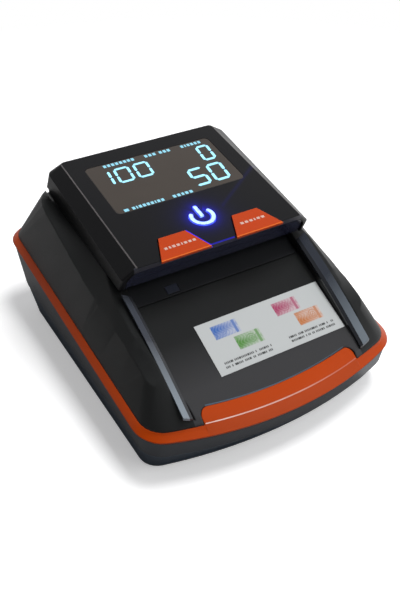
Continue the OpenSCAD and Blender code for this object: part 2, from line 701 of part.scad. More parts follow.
function head_rings(g, up) = [
    lift(outline(head_x - g, head_front_y + g, head_rear_y - g, bow = 4000, rf = 1.5, rr = 4),
        gap_at(0) - (up > 0 ? 3 : 0), deck_rise),
    lift(outline(head_x - 0.2 - g, bevel_front_y + g, bevel_rear_y - g, bow = 4000, rf = 1.5, rr = 4),
        bevel_z - bevel_rise * bevel_front_y - up * 0.6, bevel_rise),
    lift(outline(panel_w / 2 - g * 0.7, panel_front_y + g, panel_rear_y - g, bow = 4000, rf = 1, rr = 2),
        panel_z - panel_rise * panel_front_y - up, panel_rise)];

front_lip = 2.9;                        // depth of the chamfered front edge of the panel
window_y = 34.6;                        // front edge of the window, up the slope
window_r = 2.5;
key_back = 12.5;                        // back edge of the keys, up the slope
key_front = -1.3;                       // front edge of the keys, over the edge of the panel
key_out = 0.5;                          // keys stand this far out of the panel
key_h = 3.5;
key_lip = 1;                          // thickness of the keys where they reach over the edge of the panel
key_clear = 0.15;                       // what is left under a key that is pressed home
key_body_y = 4.2;                         // the full height of the keys starts here, up the slope
key_taper = 0.405;                      // inward run of the keys' sides per millimetre
power_y = 18;
power_r = 5.1;
power_line = 2;
power_open = 62;                        // half of the opening of the ring, in degrees
power_out = 0.4;

// Rectangle w by l with round corners, from its front edge up.
module round_rect(w, l, r) {
    x = w / 2 - r;
    polygon(concat(arc(x, r, r, -90, 0, 6), arc(x, l - r, r, 0, 90, 6), arc(-x, l - r, r, 90, 180, 6),
        arc(-x, r, r, 180, 270, 6)));
}
// Plan of the right key between two depths; g grows it for its opening.
module key_plan(g, yf, yb) {
    function inner(y) = 6.4 + key_taper * (y - key_front) - 1.08 * g;
    function outer(y) = 30.8 - key_taper * (y - key_front) + 1.08 * g;
    polygon([[inner(yb), yb], [outer(yb), yb], [outer(yf), yf], [inner(yf), yf]]);
}
// The opening for a key, with a notch in the front edge of the panel.
module key_opening() {
    translate([0, 0, -6]) linear_extrude(12) key_plan(key_gap, key_body_y - key_gap, key_back + key_gap);
    translate([0, 0, key_out - key_lip - key_travel - key_clear]) linear_extrude(6)
        key_plan(key_gap, key_front - 4, key_body_y);
}
module power_plan(g) {
    r = power_r + power_line / 2 + g;
    end_x = power_r * sin(power_open);
    end_y = power_r * cos(power_open);
    difference() {
        circle(r = r, $fn = 64);
        circle(r = power_r - power_line / 2 - g, $fn = 64);
        polygon(3 * [[0, 0], [-end_x, end_y], [-end_x, r], [end_x, r], [end_x, end_y]]);
    }
    for (sx = [-1, 1]) translate([sx * end_x, end_y]) circle(d = power_line + 2 * g, $fn = 32);
    translate([-power_line / 2 - g, -g]) square([power_line + 2 * g, power_r + 2.6 + 2 * g]);
}
// The front opening of the head under the chamfered edge of the panel; g shrinks it for the front panel.
module front_profile(g) {
    x = front_w / 2 - g;
    top = -front_lip - g;
    rotate([90, 0, 0]) linear_extrude(front_deep, center = true)
        polygon(concat([[-x, -front_lip - 30], [x, -front_lip - 30]],
            arc(x - front_round, top - front_round, front_round, 0, 90, 6),
            arc(front_round - x, top - front_round, front_round, 90, 180, 6)));
}

module head_shell() {
    color("#1b1c1f") difference() {
        union() {
            difference() {
                loft(head_rings(0, 0));
                difference() {
                    loft(head_rings(wall, wall));
                    // bosses for the screws of the upper guide
                    head_posts() cylinder(d = 6, h = 40, $fn = 32);
                }
            }
            // hinge bosses on the side walls
            both() rod(pin_d + 4, head_x - wall - 0.4, head_x - 1, hinge_y, hinge_z);
        }
        on_panel() {
            translate([0, window_y, -6]) linear_extrude(12)
                round_rect(window_w + 0.2, window_l + 0.2, window_r);
            both() key_opening();
            translate([0, power_y, -6]) linear_extrude(12) power_plan(key_gap);
            front_profile(0);
        }
        head_posts() translate([0, 0, -1]) cylinder(d = 1.8, h = 9, $fn = 24);
        both() rod(pin_d, ear_x, head_x - 0.9, hinge_y, hinge_z);
        // exit mouth at the back, and clearance there when the head lifts
        translate([-head_x - 1, mouth_y, deck_at(60) - 3]) cube([2 * head_x + 2, 16, 3 + mouth_h]);
    }
}
front_w = head_w - 2 * wall - 0.4;
front_round = 6.5;                        // corner radius of the front opening
front_deep = 16;                        // the opening runs this far along the slope, over the edge
front_back = 0.8;                       // set-back of the front panel in its opening
mouth_y = hinge_y + 3.5;                // the exit mouth at the back starts here
mouth_h = 5.2;
post_out_y = [head_front_y + 11.7, hinge_y - 14.3];
head_post_x = 40;
head_post_gap = 5.5;
module head_posts() {
    for (sx = [-1, 1], y = post_out_y)
        translate([sx * head_post_x, y, deck_at(y) + head_post_gap]) children();
}

module head_front_panel() {
    color("#20263c") intersection() {
        difference() {
            loft(head_rings(front_back, 0));
            loft(head_rings(wall + front_back - 0.3, 0.01));
        }
        on_panel() front_profile(0.15);
    }
}

module display_window() {
    color([0.32, 0.27, 0.24, 0.8]) on_panel() translate([0, window_y + 0.1, -1.6]) linear_extrude(1.5)
        round_rect(window_w, window_l, window_r - 0.1);
}
module display_module() {
    color("#2d2a28") on_panel() translate([-window_w / 2 - 0.4, window_y - 0.8, -wall - module_h - 0.2])
        cube([window_w + 0.8, window_l + 1.6, module_h]);
}
module_h = 3.3;
dboard_t = 1.4;
dboard_w = window_w + 5.2;
dboard_y = 5;
dboard_z = -wall - module_h - 0.3 - dboard_t;
module display_board() {
    color("#1f5a34") on_panel() translate([-dboard_w / 2, dboard_y, dboard_z])
        cube([dboard_w, window_y + window_l + 2 - dboard_y, dboard_t]);
}
module key_switches() {
    color("#c9cbd0") on_panel() for (p = [[-18.6, 8.5], [18.6, 8.5], [0, power_y]])
        translate([p[0] - 3, p[1] - 3, dboard_z + dboard_t]) {
            cube([6, 6, 1.2]);
            translate([3, 3, 1.2]) cylinder(d = 3, h = 0.5, $fn = 32);
        }
}
switch_top = dboard_z + dboard_t + 1.7;

module key_body() {
    difference() {
        union() {
            translate([0, 0, key_out - key_h]) linear_extrude(key_h) key_plan(0, key_body_y, key_back);
            translate([0, 0, key_out - key_lip]) linear_extrude(key_lip)
                key_plan(0, key_front, key_body_y + 1);
        }
        // the front edge slopes down
        translate([0, 0, key_out]) rotate([-45, 0, 0]) translate([0, -10, 0]) cube([40, 10, 10]);
    }
    // ledge that keeps the key under the panel
    translate([11.5, 9, -key_h + key_out]) cube([14.5, 5.2, 0.6]);
    translate([18.6, 8.5, switch_top + key_travel + 0.1])
        cylinder(d = 4, h = -switch_top - key_travel - key_h + key_out, $fn = 32);
}
module key_right() { color("#d8591f") key_shape(); }
module key_left() { color("#d8591f") mirror([1, 0, 0]) key_shape(); }
module key_shape() { on_panel() key_body(); }

module power_key() {
    color("#9fb6ff") on_panel() translate([0, power_y, 0]) {
        translate([0, 0, -wall - 0.7]) linear_extrude(wall + 0.7 + power_out) power_plan(0);
        translate([0, 0, switch_top + key_travel + 0.1]) cylinder(r = power_r + 2.4, h = 0.7, $fn = 48);
    }
}

// Upper half of the note path, hung in the head.
upper_x = 40;
upper_rear_y = 52.7;
pinch_zf = deck_at(front_y) + drive_out + 0.35 + pinch_d / 2;
pinch_zr = deck_at(rear_y) + drive_out + 0.35 + pinch_d / 2;
pinch_axes = [[front_y, pinch_zf], [rear_y, pinch_zr]];
pinch_end = 33;
module upper_guide() {
    b = path_h;
    color("#202225") difference() {
        union() {
            side_profile(-upper_x, 2 * upper_x, [
                [head_front_y + 2.4, gap_at(head_front_y)], [0, deck_at(0) + b],
                [upper_rear_y, deck_at(upper_rear_y) + b], [upper_rear_y, deck_at(upper_rear_y) + b + 2],
                [0, deck_at(0) + b + 2], [head_front_y + 2.4, gap_at(head_front_y) + 2]]);
            both() for (p = pinch_axes) translate([pinch_end, p[0] - 3, deck_at(p[0]) + b + 1])
                cube([3, 6, pinch_d / 2 + 1.5]);
            head_posts() translate([0, 0, -head_post_gap + b + 1])
                cylinder(d = 6, h = head_post_gap - b - 1.1, $fn = 32);
        }
        both() for (p = pinch_axes) {
            translate([roller_x - roller_w / 2 - 0.6, p[0] - pinch_d / 2 - 0.6, p[1] - pinch_d / 2 - 3])
                cube([roller_w + 1.2, pinch_d + 1.2, pinch_d + 6]);
            rod(pinch_shaft_d + 2 * run_gap, pinch_end - 1, pinch_end + 4, p[0], p[1]);
        }
        for (p = pinch_axes) rod(pinch_shaft_d + 1, -pinch_end, pinch_end, p[0], p[1]);
        head_posts() translate([0, 0, -head_post_gap]) cylinder(d = 2.4, h = 10, $fn = 24);
        head_posts() translate([0, 0, -head_post_gap]) cylinder(d = 4.6, h = b + 1.6, $fn = 24);
        translate([-sensor_w / 2 - 0.2, sensor_y - sensor_l / 2 - 0.2, deck_at(sensor_y) - 2])
            cube([sensor_w + 0.4, sensor_l + 0.4, 12]);
    }
}
module sensor_bar_upper() {
    color("#14161c") translate([0, sensor_y, deck_at(sensor_y) + path_h + 0.1])
        rotate([atan(deck_rise), 0, 0]) translate([-sensor_w / 2, -sensor_l / 2, 0]) cube([sensor_w, sensor_l, 4]);
}
module pinch_shaft(y, z) { color("#c4c7ca") rod(pinch_shaft_d, -pinch_end - 3.4, pinch_end + 3.4, y, z); }
module pinch_tyres(y, z) {
    color("#2f3033") for (sx = [-1, 1]) difference() {
        rod(pinch_d, sx * roller_x - roller_w / 2, sx * roller_x + roller_w / 2, y, z);
        rod(pinch_shaft_d, sx * roller_x - roller_w / 2 - 1, sx * roller_x + roller_w / 2 + 1, y, z);
    }
}
module pinch_shaft_front() { pinch_shaft(front_y, pinch_zf); }
module pinch_shaft_rear() { pinch_shaft(rear_y, pinch_zr); }
module pinch_rollers_front() { pinch_tyres(front_y, pinch_zf); }
module pinch_rollers_rear() { pinch_tyres(rear_y, pinch_zr); }
module pinch_springs() {
    color("#b7babd") both() for (p = pinch_axes)
        translate([pinch_end + 0.3, p[0] - 8, deck_at(p[0]) + path_h + 2.5 + pinch_d / 2]) cube([2.4, 16, 0.4]);
}
module hinge_pins() {
    color("#c4c7ca") both() rod(pin_d, ear_x - 0.9, head_x - 1, hinge_y, hinge_z);
}
module head_screws() {
    color("#9a9da1") head_posts() translate([0, 0, -head_post_gap + path_h + 0.3]) {
        cylinder(d = 4.2, h = 1.2, $fn = 32);
        cylinder(d = 1.8, h = head_post_gap + 4, $fn = 24);
    }
}
keeper_w = 16;
keeper_y = path_bend_y - 3.6;
module latch_magnet() {
    color("#8e9196") translate([-keeper_w / 2 + 1, keeper_y - 1.6, deck_at(keeper_y) + path_h + 2.8])
        cube([keeper_w - 2, 3.2, 4]);
}
module keeper_plate() {
    color("#9b9ea3") translate([-keeper_w / 2, keeper_y - 2, tray_at(keeper_y) - 2.4])
        cube([keeper_w, 4, 1.2]);
}

base_shell();
rubber_feet();
base_screws();
trim_band();
upper_cover();
guide_strip_left();
guide_strip_right();
tray_sticker();
lower_guide();
sensor_bar_lower();
entry_sensor();
drive_shaft_front();
drive_rollers_front();
pulley_front();
encoder_disc();
drive_shaft_rear();
drive_rollers_rear();
pulley_rear();
shaft_bushes();
drive_belt();
motor();
motor_bracket();
motor_shaft();
motor_pulley();
main_board();
board_parts();
power_socket();
update_socket();
magnetic_sensor();
uv_lamp();
head_shell();
head_front_panel();
display_window();
display_module();
display_board();
key_switches();
key_left();
key_right();
power_key();
upper_guide();
sensor_bar_upper();
pinch_shaft_front();
pinch_rollers_front();
pinch_shaft_rear();
pinch_rollers_rear();
pinch_springs();
hinge_pins();
head_screws();
latch_magnet();
keeper_plate();
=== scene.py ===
import math

import bpy
import numpy as np
from mathutils import Euler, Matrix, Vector
from mathutils.bvhtree import BVHTree


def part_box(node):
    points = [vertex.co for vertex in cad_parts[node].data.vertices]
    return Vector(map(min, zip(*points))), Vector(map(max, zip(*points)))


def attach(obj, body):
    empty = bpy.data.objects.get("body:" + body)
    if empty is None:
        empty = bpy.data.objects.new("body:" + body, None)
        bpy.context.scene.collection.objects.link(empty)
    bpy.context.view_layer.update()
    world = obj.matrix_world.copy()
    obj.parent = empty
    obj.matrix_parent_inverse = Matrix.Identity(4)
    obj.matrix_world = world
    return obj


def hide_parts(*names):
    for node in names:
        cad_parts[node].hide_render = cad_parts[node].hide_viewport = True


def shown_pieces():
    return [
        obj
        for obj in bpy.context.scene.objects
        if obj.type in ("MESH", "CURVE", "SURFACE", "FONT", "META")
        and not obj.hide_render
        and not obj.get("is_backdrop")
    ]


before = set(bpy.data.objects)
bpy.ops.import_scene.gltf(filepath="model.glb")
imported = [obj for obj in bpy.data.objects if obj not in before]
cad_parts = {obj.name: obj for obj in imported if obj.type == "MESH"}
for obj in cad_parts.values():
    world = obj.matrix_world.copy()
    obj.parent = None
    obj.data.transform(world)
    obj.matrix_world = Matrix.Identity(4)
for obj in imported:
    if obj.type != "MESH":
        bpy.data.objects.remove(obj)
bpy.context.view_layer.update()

scene = bpy.context.scene
scene.view_settings.view_transform = "Standard"

# ---- camera -------------------------------------------------------------------------------------
LENS = 46.495
SENSOR = 36.0
SHIFT_X = 0.0
SHIFT_Y = 0.0
CAMERA_AT = (-0.15074, -0.26050, 0.25695)
CAMERA_AZIMUTH = -30.474
CAMERA_ELEVATION = 37.8
PHOTO_W, PHOTO_H = 400, 600

camera_data = bpy.data.cameras.new("camera")
camera_data.sensor_fit = "AUTO"
camera_data.sensor_width = SENSOR
camera_data.lens = LENS
camera_data.shift_x = SHIFT_X
camera_data.shift_y = SHIFT_Y
camera_data.clip_start = 0.01
camera = bpy.data.objects.new("camera", camera_data)
scene.collection.objects.link(camera)
camera.location = CAMERA_AT
camera.rotation_euler = (math.radians(90 - CAMERA_ELEVATION), 0, math.radians(CAMERA_AZIMUTH))
scene.camera = camera
CAMERA_TURN = Euler(camera.rotation_euler).to_matrix()


def to_photo(points):
    """Photo x and y of points in metres: perspective division in the camera's axes."""
    local = (np.atleast_2d(points) - np.array(CAMERA_AT)) @ np.array(CAMERA_TURN)
    side = max(PHOTO_W, PHOTO_H)
    scale = side * LENS / SENSOR
    x = local[:, 0] / -local[:, 2] * scale + PHOTO_W / 2 - SHIFT_X * side
    y = -local[:, 1] / -local[:, 2] * scale + PHOTO_H / 2 + SHIFT_Y * side
    return np.stack([x, y], 1)


# ---- shader maths ---------------------------------------------------------------------------------
class Value:
    """A node's output socket in an expression."""

    def __init__(self, paint, socket):
        self.paint = paint
        self.socket = socket

    def _math(self, operation, *values):
        return self.paint.node("ShaderNodeMath", {"operation": operation}, *values)

    def __add__(self, other):
        return self._math("ADD", self, other)

    def __sub__(self, other):
        return self._math("SUBTRACT", self, other)

    def __mul__(self, other):
        return self._math("MULTIPLY", self, other)

    def __truediv__(self, other):
        return self._math("DIVIDE", self, other)

    def __pow__(self, other):
        return self._math("POWER", self, other)

    def __neg__(self):
        return self._math("MULTIPLY", self, -1.0)

    def __rsub__(self, other):
        return self._math("SUBTRACT", other, self)

    def __rtruediv__(self, other):
        return self._math("DIVIDE", other, self)

    def __rpow__(self, other):
        return self._math("POWER", other, self)

    __radd__ = __add__
    __rmul__ = __mul__

    def __lt__(self, other):
        return self._math("LESS_THAN", self, other)

    def __gt__(self, other):
        return self._math("GREATER_THAN", self, other)

    def __abs__(self):
        return self._math("ABSOLUTE", self)

    def clamp(self):
        return self.paint.node("ShaderNodeClamp", {}, self, 0.0, 1.0)

    def least(self, other):
        return self._math("MINIMUM", self, other)

    def most(self, other):
        return self._math("MAXIMUM", self, other)


class Paint:
    """A material under construction."""

    def __init__(self, name):
        self.material = bpy.data.materials.new(name)
        self.material.use_nodes = True
        self.tree = self.material.node_tree
        self.shader = next(n for n in self.tree.nodes if n.type == "BSDF_PRINCIPLED")

    def node(self, kind, settings, *inputs, out=0, **named):
        """A new node with its settings and inputs, by place or by name.

        An input is a number, a colour, a Value, or None for its default."""
        n = self.tree.nodes.new(kind)
        for key, value in settings.items():
            if key == "stops":
                ramp = n.color_ramp
                while len(ramp.elements) > 1:
                    ramp.elements.remove(ramp.elements[-1])
                ramp.elements[0].position, ramp.elements[0].color = value[0]
                for place, colour in value[1:]:
                    ramp.elements.new(place).color = colour
            else:
                setattr(n, key, value)
        for i, v in list(enumerate(inputs)) + list(named.items()):
            if v is None:
                continue
            socket = n.inputs[i] if isinstance(i, int) else n.inputs[i.replace("_", " ")]
            if isinstance(v, Value):
                self.tree.links.new(v.socket, socket)
            else:
                socket.default_value = v
        return Value(self, n.outputs[out])

    def set(self, socket, value):
        """Gives one socket of the shader its value."""
        target = self.shader.inputs[socket]
        if isinstance(value, Value):
            self.tree.links.new(value.socket, target)
        else:
            target.default_value = value

    def place(self):
        """Object coordinates, in metres."""
        return self.node("ShaderNodeTexCoord", {}, out=3)

    def parts(self, vector):
        """The x, y and z of a vector."""
        n = self.tree.nodes.new("ShaderNodeSeparateXYZ")
        self.tree.links.new(vector.socket, n.inputs[0])
        return tuple(Value(self, o) for o in n.outputs)

    def noise(self, scale, detail=2.0, roughness=0.5, where=None):
        """Cloudy noise, 0 to 1, at object coordinates unless told where."""
        return self.node("ShaderNodeTexNoise", {}, where or self.place(),
                         Scale=scale, Detail=detail, Roughness=roughness)

    def mix(self, mask, a, b):
        """Colour a where the mask is 0 and b where it is 1."""
        n = self.tree.nodes.new("ShaderNodeMix")
        n.data_type = "RGBA"
        for socket, v in ((n.inputs[0], mask), (n.inputs[6], a), (n.inputs[7], b)):
            if isinstance(v, Value):
                self.tree.links.new(v.socket, socket)
            else:
                socket.default_value = v
        return Value(self, n.outputs[2])

    def bump(self, height, depth, strength, normal=None):
        """A normal tilted by a height, whose full range is depth metres."""
        return self.node("ShaderNodeBump", {}, Strength=strength, Distance=depth, Height=height, Normal=normal)

    def rounded(self, radius):
        """A normal that rounds the edges in the shading by a radius, in metres."""
        return self.node("ShaderNodeBevel", {"samples": 6}, Radius=radius)


def rgb(r, g, b):
    """An opaque colour, in linear light."""
    return (r, g, b, 1.0)


def scaled(colour, factor):
    """A colour made lighter or darker, at most white."""
    return rgb(*[min(1, c * factor) for c in colour])


def moulded(name, colour, roughness, grain=9000.0, depth=0.00003, tone=0.12,
            sheen=0.03, radius=0.0005, coat=0.0):
    """Moulded plastic: fine spark-eroded grain, faint cloudy tone, and rubbed spots that shine a little more."""
    p = Paint(name)
    cloud = p.noise(35.0, 3.0)
    fine = p.noise(grain, 2.0, 0.6)
    p.tone = p.mix(cloud, scaled(colour, 1 - tone), scaled(colour, 1 + tone))
    p.set("Base Color", p.tone)
    p.set("Roughness", (roughness + (cloud - 0.5) * 0.12 + (fine - 0.5) * sheen).clamp())
    p.set("Normal", p.bump(fine, depth, 0.6, p.rounded(radius) if radius else None))
    p.set("IOR", 1.45)
    if coat:
        p.set("Coat Weight", coat)
        p.set("Coat Roughness", 0.08)
    return p


def metal(name, colour, roughness, along=None):
    """Plated or turned metal: fine scratches drawn out along one axis."""
    p = Paint(name)
    stretch = {"x": (60, 4000, 4000), "y": (4000, 60, 4000), None: (900, 900, 900)}[along]
    where = p.node("ShaderNodeMapping", {}, p.place(), None, None, stretch)
    lines = p.noise(1.0, 3.0, 0.6, where)
    p.set("Base Color", p.mix(lines, scaled(colour, 0.85), scaled(colour, 1.1)))
    p.set("Metallic", 1.0)
    p.set("Roughness", (roughness + (lines - 0.5) * 0.2).clamp())
    p.set("Normal", p.bump(lines, 0.00001, 0.4, p.rounded(0.0002)))
    return p


def dress(node, paint):
    """Gives a CAD node its finish."""
    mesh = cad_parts[node].data
    mesh.materials.clear()
    mesh.materials.append(paint.material)


# ---- the panel's own axes: u across, v up the slope, w out of it ------------------------------------
SLOPE = math.radians(8.7)
FOLD_Y, FOLD_Z = -0.0241, 0.0721
ALONG = np.array((0.0, math.cos(SLOPE), math.sin(SLOPE)))
OUT = np.array((0.0, -math.sin(SLOPE), math.cos(SLOPE)))


def panel_axes(p):
    """u, v and w of the shaded point, in metres."""
    x, y, z = p.parts(p.place())
    y, z = y - FOLD_Y, z - FOLD_Z
    return x, y * ALONG[1] + z * ALONG[2], z * OUT[2] + y * OUT[1]


# ---- finishes ---------------------------------------------------------------------------------------
POWER_V = 0.018                                 # middle of the power symbol, up the panel
POWER_R = 0.0051                                # radius of its ring
POWER_LINE = 0.002                              # width of its line
POWER_TALL = 0.0077                             # top of its bar, above the middle
POWER_OPEN = (0.47, 0.885)                      # cosine and sine of the half angle of the ring's opening
FALL = 2.718                                    # base of the glows' falling off

PANEL_SIDE = 0.0414                             # the panel's side edges, from its middle
CHAMFER_SIDE, CHAMFER_LOW, CHAMFER_TOP = 0.0425, -0.0031, -0.00025
KEY_CORNER_U, KEY_CORNER_V = -0.0064, -0.0013   # inner low corner of the left key
KEY_TAPER = 0.405                               # lean of its inner side
KEY_TOP_V = 0.0128
PANEL_FOLD_HALF = 0.0060                        # half the fold that shows between the keys
STREAK_U, STREAK_V, STREAK_SLOPE = 0.0364, 0.0375, 0.69
STREAK_SPREAD = 0.0000012                       # in square metres

TRAY_HALF = 0.0432                              # half the tray's width
STRIP_INNER = 0.0446                            # the strips' inner facets, painted darker as shade, end here
TRAY_LIGHT_Y = -0.041                           # painted light and shade: the tray and strips are painted lighter from here to the front, darker under the head
LIP_BACK_Y, LIP_BOW, LIP_REACH = -0.0723, 0.205, 0.0357     # back edge of the lip's pocket: an arc across the tray
LIP_FOLD_Z, LIP_HALF = 0.0255, 0.0392
LIP_FRONT_Y = -0.070                            # the lip lies in front of this
BASE_FOLD_Z, BASE_FOLD_RISE = 0.0135, 0.02      # the base's fold, at the middle and per metre to the back
NOTCH_X, NOTCH_HALF, NOTCH_LOW, NOTCH_HIGH, NOTCH_Y = -0.0084, 0.00042, 0.0063, 0.0107, -0.06
KEY_BEVEL_LOW, KEY_BEVEL_HIGH = -0.0012, -0.00055           # the keys' front bevel, up the panel, painted lighter as a highlight


def from_symbol(p, u, v):
    """Distance of a panel point from the centre line of the power symbol: a ring with an open top, and a bar."""
    v = v - POWER_V
    ring = abs((u * u + v * v) ** 0.5 - POWER_R)
    shut = (v * POWER_OPEN[0] + 0.0002 > abs(u) * POWER_OPEN[1]) * 0.004
    up = (v - POWER_TALL + POWER_LINE / 2).most(-v).most(0.0)
    bar = (u * u + up * up) ** 0.5
    return (ring + shut).least(bar)


black_head = moulded("black head plastic", (0.0055, 0.0055, 0.0062), 0.36, radius=0.0004)
u, v, w = panel_axes(black_head)
chamfer = (v < 0.0014) * (w < CHAMFER_TOP) * (w > CHAMFER_LOW) * (abs(u) < CHAMFER_SIDE)
# painted highlight: a thin light line along the panel's side edges, broken up by noise
edge = ((abs(abs(u) - PANEL_SIDE) < 0.00028) * (w > -0.0004) * (v > 0.0005)).clamp()
edge_highlight_breakup = black_head.noise(260.0, 2.0)
colour = black_head.mix(chamfer * 0.9, black_head.tone, rgb(0.060, 0.060, 0.076))
black_head.set("IOR", 1.36)
black_head.set("Base Color", black_head.mix(edge * (0.45 + edge_highlight_breakup * 0.5), colour, rgb(0.16, 0.15, 0.15)))
# painted light: a blue glow on the panel round the power symbol, a faint blue glow streak, and blue light in the
# seam beside the left key and in the fold between the keys
symbol_far = from_symbol(black_head, u, v)
halo = (FALL ** (-symbol_far / 0.0017)) * 0.5 + (FALL ** (-symbol_far / 0.0055)) * 0.05
streak_at = v - STREAK_V - (u - STREAK_U) * STREAK_SLOPE
streak = FALL ** (-(streak_at * streak_at) / STREAK_SPREAD) * (u > 0.012) * (v < 0.055) * 0.026
beside = -u + KEY_CORNER_U - (v - KEY_CORNER_V) * KEY_TAPER
seam_lit = (beside > -0.00105) * (beside < 0.0002) * (w > -0.0003) * (v > -0.0002) * (v < KEY_TOP_V) * 0.8
fold_lit = (abs(u) < PANEL_FOLD_HALF) * (abs(v - 0.0001) < 0.00035) * (w > -0.0006) * 0.35
leaks = (halo + streak + seam_lit + fold_lit).clamp()
black_head.set("Emission Color", black_head.mix(leaks, rgb(0, 0, 0), rgb(0.02, 0.018, 1.0)))
black_head.set("Emission Strength", 1.0)

charcoal = moulded("charcoal cover plastic", (0.0115, 0.0122, 0.0122), 0.45, radius=0.0012)
x, y, z = charcoal.parts(charcoal.place())
# painted shade: the tray darker under the head, lighter towards the front
tray = (abs(x) < TRAY_HALF) * ((TRAY_LIGHT_Y - y) / 0.022).clamp()
# painted highlight: a thin blue-grey line along the tray's edge beside the lip, fading to the right
past_lip = y - LIP_BACK_Y - LIP_BOW + (LIP_BOW ** 2 - x * x) ** 0.5
lip_edge_highlight = (abs(past_lip - 0.0002) < 0.00028) * (abs(x) < LIP_REACH) * (y < -0.060) * (0.9 - x / 0.08).clamp()
cover_tone = charcoal.mix(tray, charcoal.tone, rgb(0.040, 0.040, 0.042))
charcoal.set("Base Color", charcoal.mix(lip_edge_highlight, cover_tone, rgb(0.085, 0.130, 0.180)))

slate = moulded("slate base plastic", (0.040, 0.044, 0.052), 0.42, radius=0.0006)
x, y, z = slate.parts(slate.place())
fold_at = z - BASE_FOLD_Z - y * BASE_FOLD_RISE
# painted light: the base's lower facet bluish, the upper in the plastic's tone, and a painted highlight along the
# fold between them
facet = slate.mix((fold_at * 4000).clamp(), rgb(0.034, 0.050, 0.074), slate.tone)
base_fold_highlight = (abs(fold_at) < 0.00022) * slate.noise(220.0, 2.0) * 0.5
facet = slate.mix(base_fold_highlight, facet, rgb(0.14, 0.17, 0.21))
# painted shade: the moulding notch in the base's front painted near black
notch_shade = (abs(x - NOTCH_X) < NOTCH_HALF) * (z > NOTCH_LOW) * (z < NOTCH_HIGH) * (y < NOTCH_Y)
slate.set("Base Color", slate.mix(notch_shade, facet, rgb(0.002, 0.002, 0.003)))

orange = moulded("orange trim plastic", (0.455, 0.050, 0.001), 0.34, tone=0.06, radius=0.0006)
x, y, z = orange.parts(orange.place())
# painted highlight: a whitish line along the lip's fold, brightest at the left and broken up by noise; painted
# shade: the lip's front face below the fold darker
lip_highlight_breakup = orange.noise(180.0, 2.0)
leftward = (0.45 - x / 0.06).clamp() * 0.7 + 0.15
lip_fold_highlight = (abs(z - LIP_FOLD_Z) < 0.00014) * (y < LIP_FRONT_Y) * (abs(x) < LIP_HALF - 0.0004) * leftward
lip_face_shade = (z < LIP_FOLD_Z) * (y < LIP_FRONT_Y) * (abs(x) < LIP_HALF) * 0.35
lip_tone = orange.mix(lip_face_shade, orange.tone, rgb(0.36, 0.052, 0.010))
orange.set("IOR", 1.36)
orange.set("Base Color", orange.mix(lip_fold_highlight * (0.5 + lip_highlight_breakup * 0.6), lip_tone, rgb(0.90, 0.76, 0.70)))

key_orange = moulded("orange key plastic", (0.475, 0.047, 0.004), 0.38, tone=0.05, radius=0.00025)
key_orange.set("IOR", 1.36)
u, v, w = panel_axes(key_orange)
# painted highlight: the keys' front bevel lighter orange
bevel = (v < KEY_BEVEL_HIGH) * (v > KEY_BEVEL_LOW) * 0.7
key_orange.set("Base Color", key_orange.mix(bevel, key_orange.tone, rgb(0.75, 0.16, 0.02)))

strip = moulded("blue-grey strip film", (0.20, 0.25, 0.31), 0.26, tone=0.08, coat=0.3, radius=0.0002)
x, y, z = strip.parts(strip.place())
# painted light and shade: the strips lighter towards the front, darker under the head, and their inner facets
# painted darker
strip_front_light = ((TRAY_LIGHT_Y - y) / 0.026).clamp()
strip_tone = strip.mix(strip_front_light, rgb(0.042, 0.048, 0.062), rgb(0.20, 0.235, 0.27))
strip.set("Base Color", strip.mix(abs(x) < STRIP_INNER, strip_tone, rgb(0.020, 0.022, 0.026)))

inner = moulded("inner black plastic", (0.014, 0.015, 0.017), 0.5)
rubber = moulded("foot rubber", (0.012, 0.012, 0.012), 0.8, grain=3000.0, depth=0.00008)
roller = moulded("ground roller rubber", (0.02, 0.02, 0.022), 0.7, grain=2500.0, depth=0.00008)
glossy = moulded("glossy sensor window", (0.01, 0.01, 0.016), 0.08, depth=0.000003, sheen=0.02, coat=0.5)
sensor_cap = moulded("grey sensor cap", (0.030, 0.034, 0.050), 0.3)
navy = moulded("navy fascia", (0.024, 0.026, 0.050), 0.14, depth=0.000004, coat=0.4, radius=0.0003)
board_green = moulded("green solder mask", (0.01, 0.10, 0.035), 0.35)
parts_black = moulded("black component package", (0.015, 0.015, 0.016), 0.5)
steel = metal("plated steel", (0.62, 0.63, 0.65), 0.32)
shaft_steel = metal("ground shaft steel", (0.66, 0.67, 0.69), 0.22, "x")
can = metal("drawn motor can", (0.60, 0.61, 0.62), 0.35, "x")
bronze = metal("sintered bronze", (0.62, 0.43, 0.20), 0.4)
smoked = moulded("smoked display window", (0.060, 0.050, 0.042), 0.16, depth=0.000002, radius=0.0002)
lamp = moulded("violet lamp", (0.20, 0.12, 0.55), 0.15, coat=0.5)

glow = Paint("lit power symbol")
u, v, w = panel_axes(glow)
core = ((0.00108 - from_symbol(glow, u, v)) / 0.00035).clamp()
patchy = glow.noise(700.0, 2.0)
glow.set("Base Color", glow.mix(core, rgb(0.02, 0.02, 0.4), rgb(0.4, 0.5, 0.9)))
bright_core = core * (patchy * 2.2 - 0.35).clamp()
glow.set("Emission Color", glow.mix(bright_core, rgb(0.02, 0.015, 1.0), rgb(0.36, 0.66, 1.0)))
glow.set("Emission Strength", 1.0)
glow.set("Roughness", 0.3 + patchy * 0.1)

